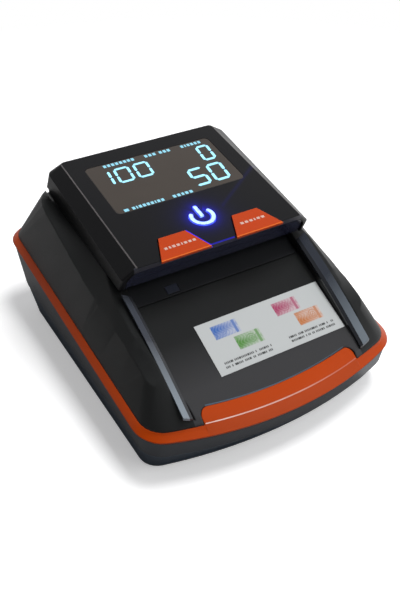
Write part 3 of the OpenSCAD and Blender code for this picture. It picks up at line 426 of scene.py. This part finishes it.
for names, paint in (
    ("base_shell", slate),
    ("rubber_feet", rubber),
    ("base_screws motor_bracket keeper_plate magnetic_sensor", steel),
    ("pinch_springs head_screws latch_magnet update_socket", steel),
    ("trim_band", orange),
    ("upper_cover", charcoal),
    ("guide_strip_left guide_strip_right", strip),
    ("lower_guide upper_guide pulley_front pulley_rear motor_pulley", inner),
    ("sensor_bar_lower sensor_bar_upper", glossy),
    ("entry_sensor", sensor_cap),
    ("encoder_disc board_parts power_socket key_switches", parts_black),
    ("drive_shaft_front drive_shaft_rear motor_shaft pinch_shaft_front pinch_shaft_rear hinge_pins", shaft_steel),
    ("drive_rollers_front drive_rollers_rear pinch_rollers_front pinch_rollers_rear drive_belt", roller),
    ("shaft_bushes", bronze),
    ("motor", can),
    ("main_board display_board", board_green),
    ("uv_lamp", lamp),
    ("head_shell", black_head),
    ("head_front_panel", navy),
    ("display_window display_module", smoked),
    ("key_left key_right", key_orange),
    ("power_key", glow),
):
    for name in names.split():
        dress(name, paint)


# ---- smooth curves on the CAD shells ----------------------------------------------------------------
def fold_smoothing(limit):
    """A node group that shades faces smooth but keeps folds sharper than the limit, in degrees."""
    group = bpy.data.node_groups.new("smooth below the fold angle", "GeometryNodeTree")
    group.interface.new_socket("Geometry", in_out="INPUT", socket_type="NodeSocketGeometry")
    group.interface.new_socket("Geometry", in_out="OUTPUT", socket_type="NodeSocketGeometry")
    start = group.nodes.new("NodeGroupInput")
    end = group.nodes.new("NodeGroupOutput")
    faces = group.nodes.new("GeometryNodeSetShadeSmooth")
    faces.domain = "FACE"
    edges = group.nodes.new("GeometryNodeSetShadeSmooth")
    edges.domain = "EDGE"
    angle = group.nodes.new("GeometryNodeInputMeshEdgeAngle")
    sharp = group.nodes.new("FunctionNodeCompare")
    sharp.data_type = "FLOAT"
    sharp.operation = "GREATER_THAN"
    sharp.inputs[1].default_value = math.radians(limit)
    group.links.new(start.outputs[0], faces.inputs["Geometry"])
    faces.inputs["Shade Smooth"].default_value = True
    group.links.new(faces.outputs[0], edges.inputs["Geometry"])
    group.links.new(angle.outputs["Unsigned Angle"], sharp.inputs[0])
    group.links.new(sharp.outputs[0], edges.inputs["Selection"])
    edges.inputs["Shade Smooth"].default_value = False
    group.links.new(edges.outputs[0], end.inputs[0])
    return group


FOLDS = fold_smoothing(28)
for name in "base_shell trim_band head_shell head_front_panel rubber_feet upper_cover".split():
    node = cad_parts[name]
    weld = node.modifiers.new("weld", "WELD")
    weld.merge_threshold = 0.00001
    node.modifiers.new("smooth", "NODES").node_group = FOLDS
    if name == "upper_cover":
        continue
    level = node.modifiers.new("level", "WEIGHTED_NORMAL")
    level.keep_sharp = True


# ---- image points and placing -----------------------------------------------------------------------
POINTS = {
    "left side": (15, None),
    "right side": (385, None),
    "top of the head": (None, 124.5),
    "bottom of the base": (None, 464.8),
    "display digits": (130.7, 172.8),
    "count digit": (205.6, 152.5),
    "value digits": (208.7, 173.7),
    "first caption": (118.6, 163.2),
    "middle caption": (157.1, 153.3),
    "last caption": (190.3, 144.5),
    "direction caption": (144.4, 205.1),
    "value caption": (182.8, 193.8),
    "power symbol": (201.6, 215.1),
    "left key marks": (180.2, 244.1),
    "right key marks": (252.4, 219.8),
    "label": (269.0, 329.3),
    "display window": (164.0, 176.4),
    "left guide strip": (156.5, 355.0),
    "right guide strip": (333.0, 290.0),
}


def placed(point, *carriers):
    """Where the ray through an image point meets the finished carriers: (place, normal).

    A miss takes the place on them nearest to the ray."""
    x, y = POINTS[point]
    side = max(PHOTO_W, PHOTO_H)
    ray = Vector((x - PHOTO_W / 2 + SHIFT_X * side, PHOTO_H / 2 - y + SHIFT_Y * side,
                  -side * LENS / SENSOR))
    ray = (CAMERA_TURN @ ray).normalized()
    start = Vector(CAMERA_AT)
    graph = bpy.context.evaluated_depsgraph_get()
    trees = [BVHTree.FromObject(o, graph) for o in carriers]
    hits = [hit for hit in (tree.ray_cast(start, ray) for tree in trees) if hit[0]]
    if hits:
        best = min(hits, key=lambda hit: hit[3])
        return np.array(best[0]), np.array(best[1])
    near = []
    for step in np.linspace(0.2, 0.7, 200):
        for tree in trees:
            hit = tree.find_nearest(start + ray * step)
            near.append((hit[3], hit))
    best = min(near, key=lambda pair: pair[0])[1]
    return np.array(best[0]), np.array(best[1])


def surface_frame(at, normal):
    """Axes on a surface: across (as near +X as it can be), up it, and out of it."""
    across = np.array((1.0, 0.0, 0.0)) - normal * normal[0]
    across = across / np.linalg.norm(across)
    return at, across, np.cross(normal, across), normal


SHOWN = {}


def piece(name, vertices, faces, paint, body, slot, point=None):
    """A new mesh piece in metres, with its finish, body and image point; the slot is not used."""
    mesh = bpy.data.meshes.new(name)
    mesh.from_pydata(vertices.tolist(), [], faces.tolist() if isinstance(faces, np.ndarray) else faces)
    mesh.materials.append(paint.material)
    mesh.update()
    o = bpy.data.objects.new(name, mesh)
    scene.collection.objects.link(o)
    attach(o, body)
    if point:
        SHOWN[point] = vertices
    return o


def prisms(outlines, axes, low, high):
    """Thin plates on a surface: each outline becomes a prism between two heights.

    Outlines are (n plates, k corners, 2), counter-clockwise, in metres.
    A corner's place is at + u * across + v * up + w * out, with w one of the two heights."""
    at, across, up, out = axes
    n, k = outlines.shape[:2]
    flat = at + outlines[..., :1] * across + outlines[..., 1:] * up
    vertices = np.concatenate([flat + out * low, flat + out * high], 1).reshape(-1, 3)
    i = np.arange(k)
    j = (i + 1) % k
    sides = np.stack([i, j, j + k, i + k], 1)
    first = np.arange(n)[:, None, None] * 2 * k
    faces = (sides[None] + first).reshape(-1, 4).tolist()
    faces += (np.arange(k, 2 * k)[None] + first[:, 0]).tolist()
    faces += (np.arange(k)[::-1][None] + first[:, 0]).tolist()
    return vertices, faces


# ---- lit segments and marks -------------------------------------------------------------------------
SEGMENTS = {0: "abcdef", 1: "bc", 5: "afgcd"}
GAP = 0.00012                                   # between two segments
LEAN = 0.08                                     # the digits lean by this share of their height


def bar(x0, y0, x1, y1, line):
    """A six-cornered segment from one point to another, pointed at both ends."""
    a, b = np.array((x0, y0)), np.array((x1, y1))
    d = (b - a) / np.linalg.norm(b - a)
    n = np.array((-d[1], d[0])) * line / 2
    a, b = a + d * GAP, b - d * GAP
    e = d * line / 2
    return np.array([a, a + e - n, b - e - n, b, b - e + n, a + e + n])


def digit(number, left, low, width, height, line):
    """The lit segments of one seven-segment digit: a at the top, then clockwise, g in the middle."""
    l, r = left + line / 2, left + width - line / 2
    b, t = low + line / 2, low + height - line / 2
    m = (b + t) / 2
    ends = {"a": (l, t, r, t), "b": (r, m, r, t), "c": (r, b, r, m), "d": (l, b, r, b),
            "e": (l, b, l, m), "f": (l, m, l, t), "g": (l, m, r, m)}
    shape = np.array([bar(*ends[s], line) for s in SEGMENTS[number]])
    shape[..., 0] += shape[..., 1] * LEAN
    return shape


def caption(length, height, cells, space=0.48):
    """A row of small lit blocks, centred: a plain stand-in for a caption. Cells are widths, 0 for a gap."""
    wide = np.array(cells, float)
    step = np.where(wide > 0, wide + space, 0.9)
    start = np.concatenate([[0], np.cumsum(step)[:-1]])
    scale = length / (step.sum() - space)
    l = (start * scale - length / 2)[wide > 0]
    r = l + (wide * scale)[wide > 0]
    b, t = np.full_like(l, -height / 2), np.full_like(l, height / 2)
    return np.stack([np.stack([l, b], 1), np.stack([r, b], 1), np.stack([r, t], 1), np.stack([l, t], 1)], 1)


def lit_paint(name, colour, strength):
    """A glowing surface, a little uneven."""
    p = Paint(name)
    patches = p.noise(1500.0, 2.0)
    p.set("Base Color", p.mix(patches, scaled(colour, 0.5), scaled(colour, 0.7)))
    p.set("Emission Color", p.mix(patches, scaled(colour, 0.86), rgb(*colour)))
    p.set("Emission Strength", strength)
    p.set("Roughness", 0.4 + patches * 0.1)
    return p


DIGIT_GAP = 0.0019                              # between two digits
MARK_LOW, MARK_HIGH = 0.00002, 0.00008          # the lit marks stand this far out of the window
PRINT_LOW, PRINT_HIGH = 0.00001, 0.00004        # and the print out of the keys
lit = lit_paint("lit display segments", (0.34, 0.74, 0.92), 0.9)
lit_small = lit_paint("lit display captions", (0.24, 0.56, 0.70), 0.8)
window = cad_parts["display_window"]
for name, point, digits, size, line in (
    ("display_digits", "display digits", (1, 0, 0), (0.0213, 0.0114), 0.0013),
    ("count_digit", "count digit", (0,), (0.0072, 0.0123), 0.0014),
    ("value_digits", "value digits", (5, 0), (0.0190, 0.0134), 0.0015),
):
    wide, tall = size
    ones = digits.count(1)                      # a 1 is as narrow as its line
    each = (wide - DIGIT_GAP * (len(digits) - 1) - line * ones) / (len(digits) - ones)
    widths = np.array([line if d == 1 else each for d in digits])
    lefts = np.concatenate([[0.0], np.cumsum(widths + DIGIT_GAP)[:-1]]) - wide / 2
    shapes = [digit(d, left, -tall / 2, width, tall, line) for d, left, width in zip(digits, lefts, widths)]
    mesh = prisms(np.concatenate(shapes), surface_frame(*placed(point, window)), MARK_LOW, MARK_HIGH)
    piece(name, *mesh, lit, "head", "display", point)
for name, point, size, cells in (
    ("first_caption", "first caption", (0.016, 0.0019), (1, 1, 1, 1, 1, 1, 1, 1)),
    ("middle_caption", "middle caption", (0.0138, 0.0019), (1, 1, 1, 0, 1, 1, 1)),
    ("last_caption", "last caption", (0.011, 0.0019), (1, 0.6, 1, 1, 1, 1)),
    ("direction_caption", "direction caption", (0.020, 0.0018),
     (1.6, 0, 1, 0.5, 1, 1, 1, 1, 0.5, 1, 1)),
    ("value_caption", "value caption", (0.0102, 0.0018), (1, 1, 0.8, 1, 1)),
):
    mesh = prisms(caption(*size, cells), surface_frame(*placed(point, window)), MARK_LOW, MARK_HIGH)
    piece(name, *mesh, lit_small, "head", "display", point)

pale = moulded("pale key print", (0.62, 0.42, 0.36), 0.4, radius=0)
for side, length, cells in (
    ("left", 0.0152, (1, 0.7, 1, 1, 0.5, 1, 1, 1)),
    ("right", 0.0125, (1, 1, 1, 0.5, 1, 1)),
):
    point = side + " key marks"
    surface = surface_frame(*placed(point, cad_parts["key_" + side]))
    mesh = prisms(caption(length, 0.0014, cells, 0.5), surface, PRINT_LOW, PRINT_HIGH)
    piece(side + "_key_marks", *mesh, pale, "key_" + side, "sticker", point)

# ---- printed label ----------------------------------------------------------------------------------
LABEL_W, LABEL_L, LABEL_T = 0.0654, 0.0256, 0.00016
LABEL_STEP = 0.00025                            # grid of the print
NOTE_W, NOTE_H = 0.0130, 0.0068
LINE_CELLS = 34                                 # places for blocks in a line of the caption
LINE_HALF = 0.00055                             # half its height
PAPER = (0.50, 0.52, 0.52)


def printed_note(colour, x, y, at, tint, seed):
    """One small tinted card in the label's print: waves, rings, a band and a patch.

    The waves are 0.5 + 0.5 sin(2 (26 a + 1.6 sin(9 b + seed))), with a across the card and b up it."""
    cx, cy = at
    w, h = NOTE_W, NOTE_H
    a, b = (x - cx) / w, (y - cy) / h           # -0.5 to 0.5 across and up the card
    inside = np.clip((0.5 - np.abs(a)) * w / 0.0002, 0, 1)
    inside = inside * np.clip((0.5 - np.abs(b)) * h / 0.0002, 0, 1)
    tint = np.array(tint)
    wave = 0.5 + 0.5 * np.sin((a * 26 + np.sin(b * 9 + seed) * 1.6) * 2)
    shade = 0.34 + 0.18 * wave + 0.52 * np.clip(0.45 - a + 0.25 * np.sin(b * 7 + seed), 0, 1)
    far = np.hypot((x - cx) / h + 0.32 * np.cos(seed), b)
    rings = (far < 0.42) * (0.35 + 0.45 * (np.sin(far * 46) > 0))
    band = (np.abs(a - 0.36) < 0.05) * 0.85
    patch = (np.abs(a + 0.40) < 0.055) * (np.abs(b) < 0.34) * (np.sin(b * 60) > -0.2) * 0.9
    shade = np.clip(np.maximum.reduce([shade, rings, band, patch]), 0, 1)
    note = (1 - shade[..., None] * (1 - tint)) * 0.66
    mix = (inside * 0.96)[..., None]
    return colour * (1 - mix) + note * mix


def label_piece():
    """The label: a fine grid laid on the tray, its print in a colour attribute, closed by a lower grid and a rim."""
    columns = round(LABEL_W / LABEL_STEP) + 1
    rows = round(LABEL_L / LABEL_STEP) + 1
    x, y = np.meshgrid(np.linspace(-LABEL_W / 2, LABEL_W / 2, columns),
                       np.linspace(-LABEL_L / 2, LABEL_L / 2, rows))
    low, high = (np.array(c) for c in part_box("tray_sticker"))
    tray_turn = math.asin((high[2] - low[2] - LABEL_T * 0.9) / LABEL_L)
    up = np.array((0.0, math.cos(tray_turn), math.sin(tray_turn)))
    out = np.array((0.0, -math.sin(tray_turn), math.cos(tray_turn)))
    middle = (low + high) / 2
    top = middle + x[..., None] * np.array((1.0, 0, 0)) + y[..., None] * up + out * LABEL_T / 2
    vertices = np.concatenate([top.reshape(-1, 3), (top - out * LABEL_T).reshape(-1, 3)])
    index = np.arange(rows * columns).reshape(rows, columns)
    a, b, c, d = index[:-1, :-1], index[:-1, 1:], index[1:, 1:], index[1:, :-1]
    upper = np.stack([a, b, c, d], -1).reshape(-1, 4)
    lower = upper[:, ::-1] + rows * columns
    loop = np.concatenate([index[0, :-1], index[:-1, -1], index[-1, :0:-1], index[:0:-1, 0]])
    after = np.roll(loop, -1)
    rim = np.stack([loop, loop + rows * columns, after + rows * columns, after], 1)
    faces = np.concatenate([upper, lower, rim])

    colour = np.ones((rows, columns, 3)) * np.array(PAPER)
    for at, tint, seed in (
        ((-0.0200, 0.0066), (0.02, 0.16, 0.62), 0.4),
        ((-0.0122, -0.0014), (0.08, 0.34, 0.02), 2.1),
        ((0.0120, 0.0066), (0.52, 0.02, 0.14), 1.2),
        ((0.0198, -0.0014), (0.72, 0.22, 0.03), 3.3),
    ):
        colour = printed_note(colour, x, y, at, tint, seed)
    blocks = np.random.default_rng(7)
    for cx, cy, length in (
        (-0.0165, -0.0079, 0.0240),
        (-0.0165, -0.0099, 0.0246),
        (0.0170, -0.0079, 0.0244),
        (0.0170, -0.0099, 0.0240),
    ):
        filled = blocks.random(LINE_CELLS) > 0.18
        along = ((x - cx) / length + 0.5) * LINE_CELLS
        cell = np.floor(along).astype(int)
        on = (cell >= 0) & (cell < LINE_CELLS) & (np.abs(y - cy) < LINE_HALF) & (along - cell < 0.72)
        on &= filled[np.clip(cell, 0, LINE_CELLS - 1)]
        colour[on] = colour[on] * 0.12
    mesh_colour = np.ones((len(vertices), 4))
    mesh_colour[: rows * columns, :3] = colour.reshape(-1, 3)
    mesh_colour[rows * columns:, :3] = 0.7

    paper = Paint("printed label film")
    print_colour = paper.node("ShaderNodeAttribute", {"attribute_name": "print"})
    fine = paper.noise(5000.0, 2.0)
    paper.set("Base Color", print_colour)
    paper.set("Roughness", 0.34 + fine * 0.08)
    paper.set("Normal", paper.bump(fine, 0.000005, 0.4))
    o = piece("printed_label", vertices, faces, paper, "body", "sticker", "label")
    o.data.color_attributes.new("print", "FLOAT_COLOR", "POINT")
    o.data.color_attributes["print"].data.foreach_set("color", mesh_colour.ravel())
    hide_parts("tray_sticker")


label_piece()

# ---- blue light that leaks at the keys --------------------------------------------------------------
leak = lit_paint("blue light in the key gaps", (0.03, 0.03, 1.0), 0.55)
LEAK_LINE = 0.00032
LEAK_TOP = (-0.0120, 0.0125)                    # u and v of the upper end of the left key's inner side
seam = np.array([[
    (KEY_CORNER_U, KEY_CORNER_V), (KEY_CORNER_U + LEAK_LINE, KEY_CORNER_V),
    (LEAK_TOP[0] + LEAK_LINE, LEAK_TOP[1]), LEAK_TOP,
]])
panel = (np.array((0.0, FOLD_Y, FOLD_Z)), np.array((1.0, 0, 0)), ALONG, OUT)
piece("key_seam_light", *prisms(seam, panel, -0.0006, -0.0001), leak, "head", "light_pipe")

# ---- floor and light: both show white to the camera, and light the object with less -----------------
FLOOR_SIDE = 3                                  # half the floor's side
FLOOR_FADE = (0.20, 0.30)                       # shadows fade out over this, from the middle
CARD_X = 0.055                                  # reflections see a white card on the floor to the right of this

floor_mesh = bpy.data.meshes.new("floor")
corners = [(-FLOOR_SIDE, -FLOOR_SIDE, 0), (FLOOR_SIDE, -FLOOR_SIDE, 0),
           (FLOOR_SIDE, FLOOR_SIDE, 0), (-FLOOR_SIDE, FLOOR_SIDE, 0)]
floor_mesh.from_pydata(corners, [], [(0, 1, 2, 3)])
floor = bpy.data.objects.new("floor", floor_mesh)
scene.collection.objects.link(floor)
floor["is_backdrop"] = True
ground = Paint("pale floor")
ground.set("Base Color", rgb(0.40, 0.40, 0.40))
ground.set("Roughness", 0.9)
floor_path = ground.tree.nodes.new("ShaderNodeLightPath")
seen = Value(ground, floor_path.outputs["Is Camera Ray"])
paper_white = ground.node("ShaderNodeBsdfDiffuse", {}, rgb(0.92, 0.92, 0.92))
lift = ground.node("ShaderNodeEmission", {}, rgb(1, 1, 1), 0.36)
shown = ground.node("ShaderNodeAddShader", {}, paper_white, lift)
x, y, z = ground.parts(ground.place())
away = (((x * x + y * y) ** 0.5 - FLOOR_FADE[0]) / FLOOR_FADE[1]).clamp()
open_floor = ground.node("ShaderNodeEmission", {}, rgb(1, 1, 1), 1.0)
shown = ground.node("ShaderNodeMixShader", {}, away, shown, open_floor)
card = Value(ground, floor_path.outputs["Is Glossy Ray"]) * (x > CARD_X)
mirrored = ground.node("ShaderNodeMixShader", {}, card, Value(ground, ground.shader.outputs[0]), open_floor)
mixed = ground.node("ShaderNodeMixShader", {}, seen, mirrored, shown)
surface = next(n for n in ground.tree.nodes if n.type == "OUTPUT_MATERIAL")
ground.tree.links.new(mixed.socket, surface.inputs[0])
floor_mesh.materials.append(ground.material)

world = bpy.data.worlds.new("studio")
scene.world = world
world.use_nodes = True
tree = world.node_tree
back = next(n for n in tree.nodes if n.type == "BACKGROUND")
sky = tree.nodes.new("ShaderNodeValToRGB")
sky.color_ramp.elements[0].position = 0.0
sky.color_ramp.elements[0].color = rgb(0.62, 0.62, 0.62)
sky.color_ramp.elements[1].position = 0.72
sky.color_ramp.elements[1].color = rgb(0.20, 0.20, 0.21)
height = tree.nodes.new("ShaderNodeSeparateXYZ")
direction = tree.nodes.new("ShaderNodeTexCoord")
tree.links.new(direction.outputs["Generated"], height.inputs[0])
tree.links.new(height.outputs[2], sky.inputs[0])
tree.links.new(sky.outputs[0], back.inputs[0])
lamp_side = tree.nodes.new("ShaderNodeVectorMath")
lamp_side.operation = "DOT_PRODUCT"
tree.links.new(direction.outputs["Generated"], lamp_side.inputs[0])
lamp_side.inputs[1].default_value = (0.80, 0.35, 0.0)       # brighter at the right and behind
strength = tree.nodes.new("ShaderNodeMath")
strength.operation = "ADD"
tree.links.new(lamp_side.outputs["Value"], strength.inputs[0])
strength.inputs[1].default_value = 1.0
tree.links.new(strength.outputs[0], back.inputs[1])
bright = tree.nodes.new("ShaderNodeBackground")
bright.inputs[0].default_value = rgb(1, 1, 1)
bright.inputs[1].default_value = 1.0
world_path = tree.nodes.new("ShaderNodeLightPath")
chooser = tree.nodes.new("ShaderNodeMixShader")
tree.links.new(world_path.outputs["Is Camera Ray"], chooser.inputs[0])
tree.links.new(back.outputs[0], chooser.inputs[1])
tree.links.new(bright.outputs[0], chooser.inputs[2])
around = next(n for n in tree.nodes if n.type == "OUTPUT_WORLD")
tree.links.new(chooser.outputs[0], around.inputs[0])

LIGHT_AIM = Vector((0, 0, 0.04))


def softbox(name, at, size, power):
    """A soft light aimed at the object, which reflections don't show."""
    data = bpy.data.lights.new(name, "AREA")
    data.shape = "RECTANGLE"
    data.size, data.size_y = size
    data.energy = power
    o = bpy.data.objects.new(name, data)
    scene.collection.objects.link(o)
    o.location = at
    o.rotation_euler = (LIGHT_AIM - Vector(at)).to_track_quat("-Z", "Y").to_euler()
    o.visible_glossy = False


softbox("overhead softbox", (0.30, 0.00, 1.15), (0.45, 0.45), 10.0)
softbox("front fill", (0.45, -0.75, 0.95), (0.8, 0.6), 4.0)

# ---- measures ---------------------------------------------------------------------------------------
PROUD = 0.0002                                  # of a part in the panel, only this much at the top shows
SEEN_NODES = {"display_window": "display window", "power_key": "power symbol",
              "guide_strip_left": "left guide strip", "guide_strip_right": "right guide strip"}


def measures():
    """Works out how far each thing shows from its image point, and both boxes; the result is not kept."""
    graph = bpy.context.evaluated_depsgraph_get()
    everything = []
    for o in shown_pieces():
        shape = o.evaluated_get(graph).to_mesh()
        co = np.empty(len(shape.vertices) * 3)
        shape.vertices.foreach_get("co", co)
        turn = np.array(o.matrix_world.to_3x3())
        world_co = co.reshape(-1, 3) @ turn.T + np.array(o.matrix_world.translation)
        everything.append(to_photo(world_co))
        if o.name in SEEN_NODES:
            up = (world_co - panel[0]) @ OUT
            proud = up > up.max() - PROUD if o.name in ("display_window", "power_key") else up > -1
            SHOWN[SEEN_NODES[o.name]] = world_co[proud]
    everything = np.concatenate(everything)
    report = {
        "left side": {"dx": everything[:, 0].min() - POINTS["left side"][0]},
        "right side": {"dx": everything[:, 0].max() - POINTS["right side"][0]},
        "top of the head": {"dy": everything[:, 1].min() - POINTS["top of the head"][1]},
        "bottom of the base": {"dy": everything[:, 1].max() - POINTS["bottom of the base"][1]},
    }
    for name, shown in SHOWN.items():
        seen = to_photo(shown)
        middle = (seen.min(0) + seen.max(0)) / 2
        report[name] = {"dx": middle[0] - POINTS[name][0], "dy": middle[1] - POINTS[name][1]}
    report = {k: {n: round(float(d), 2) for n, d in v.items()} for k, v in report.items()}


measures()
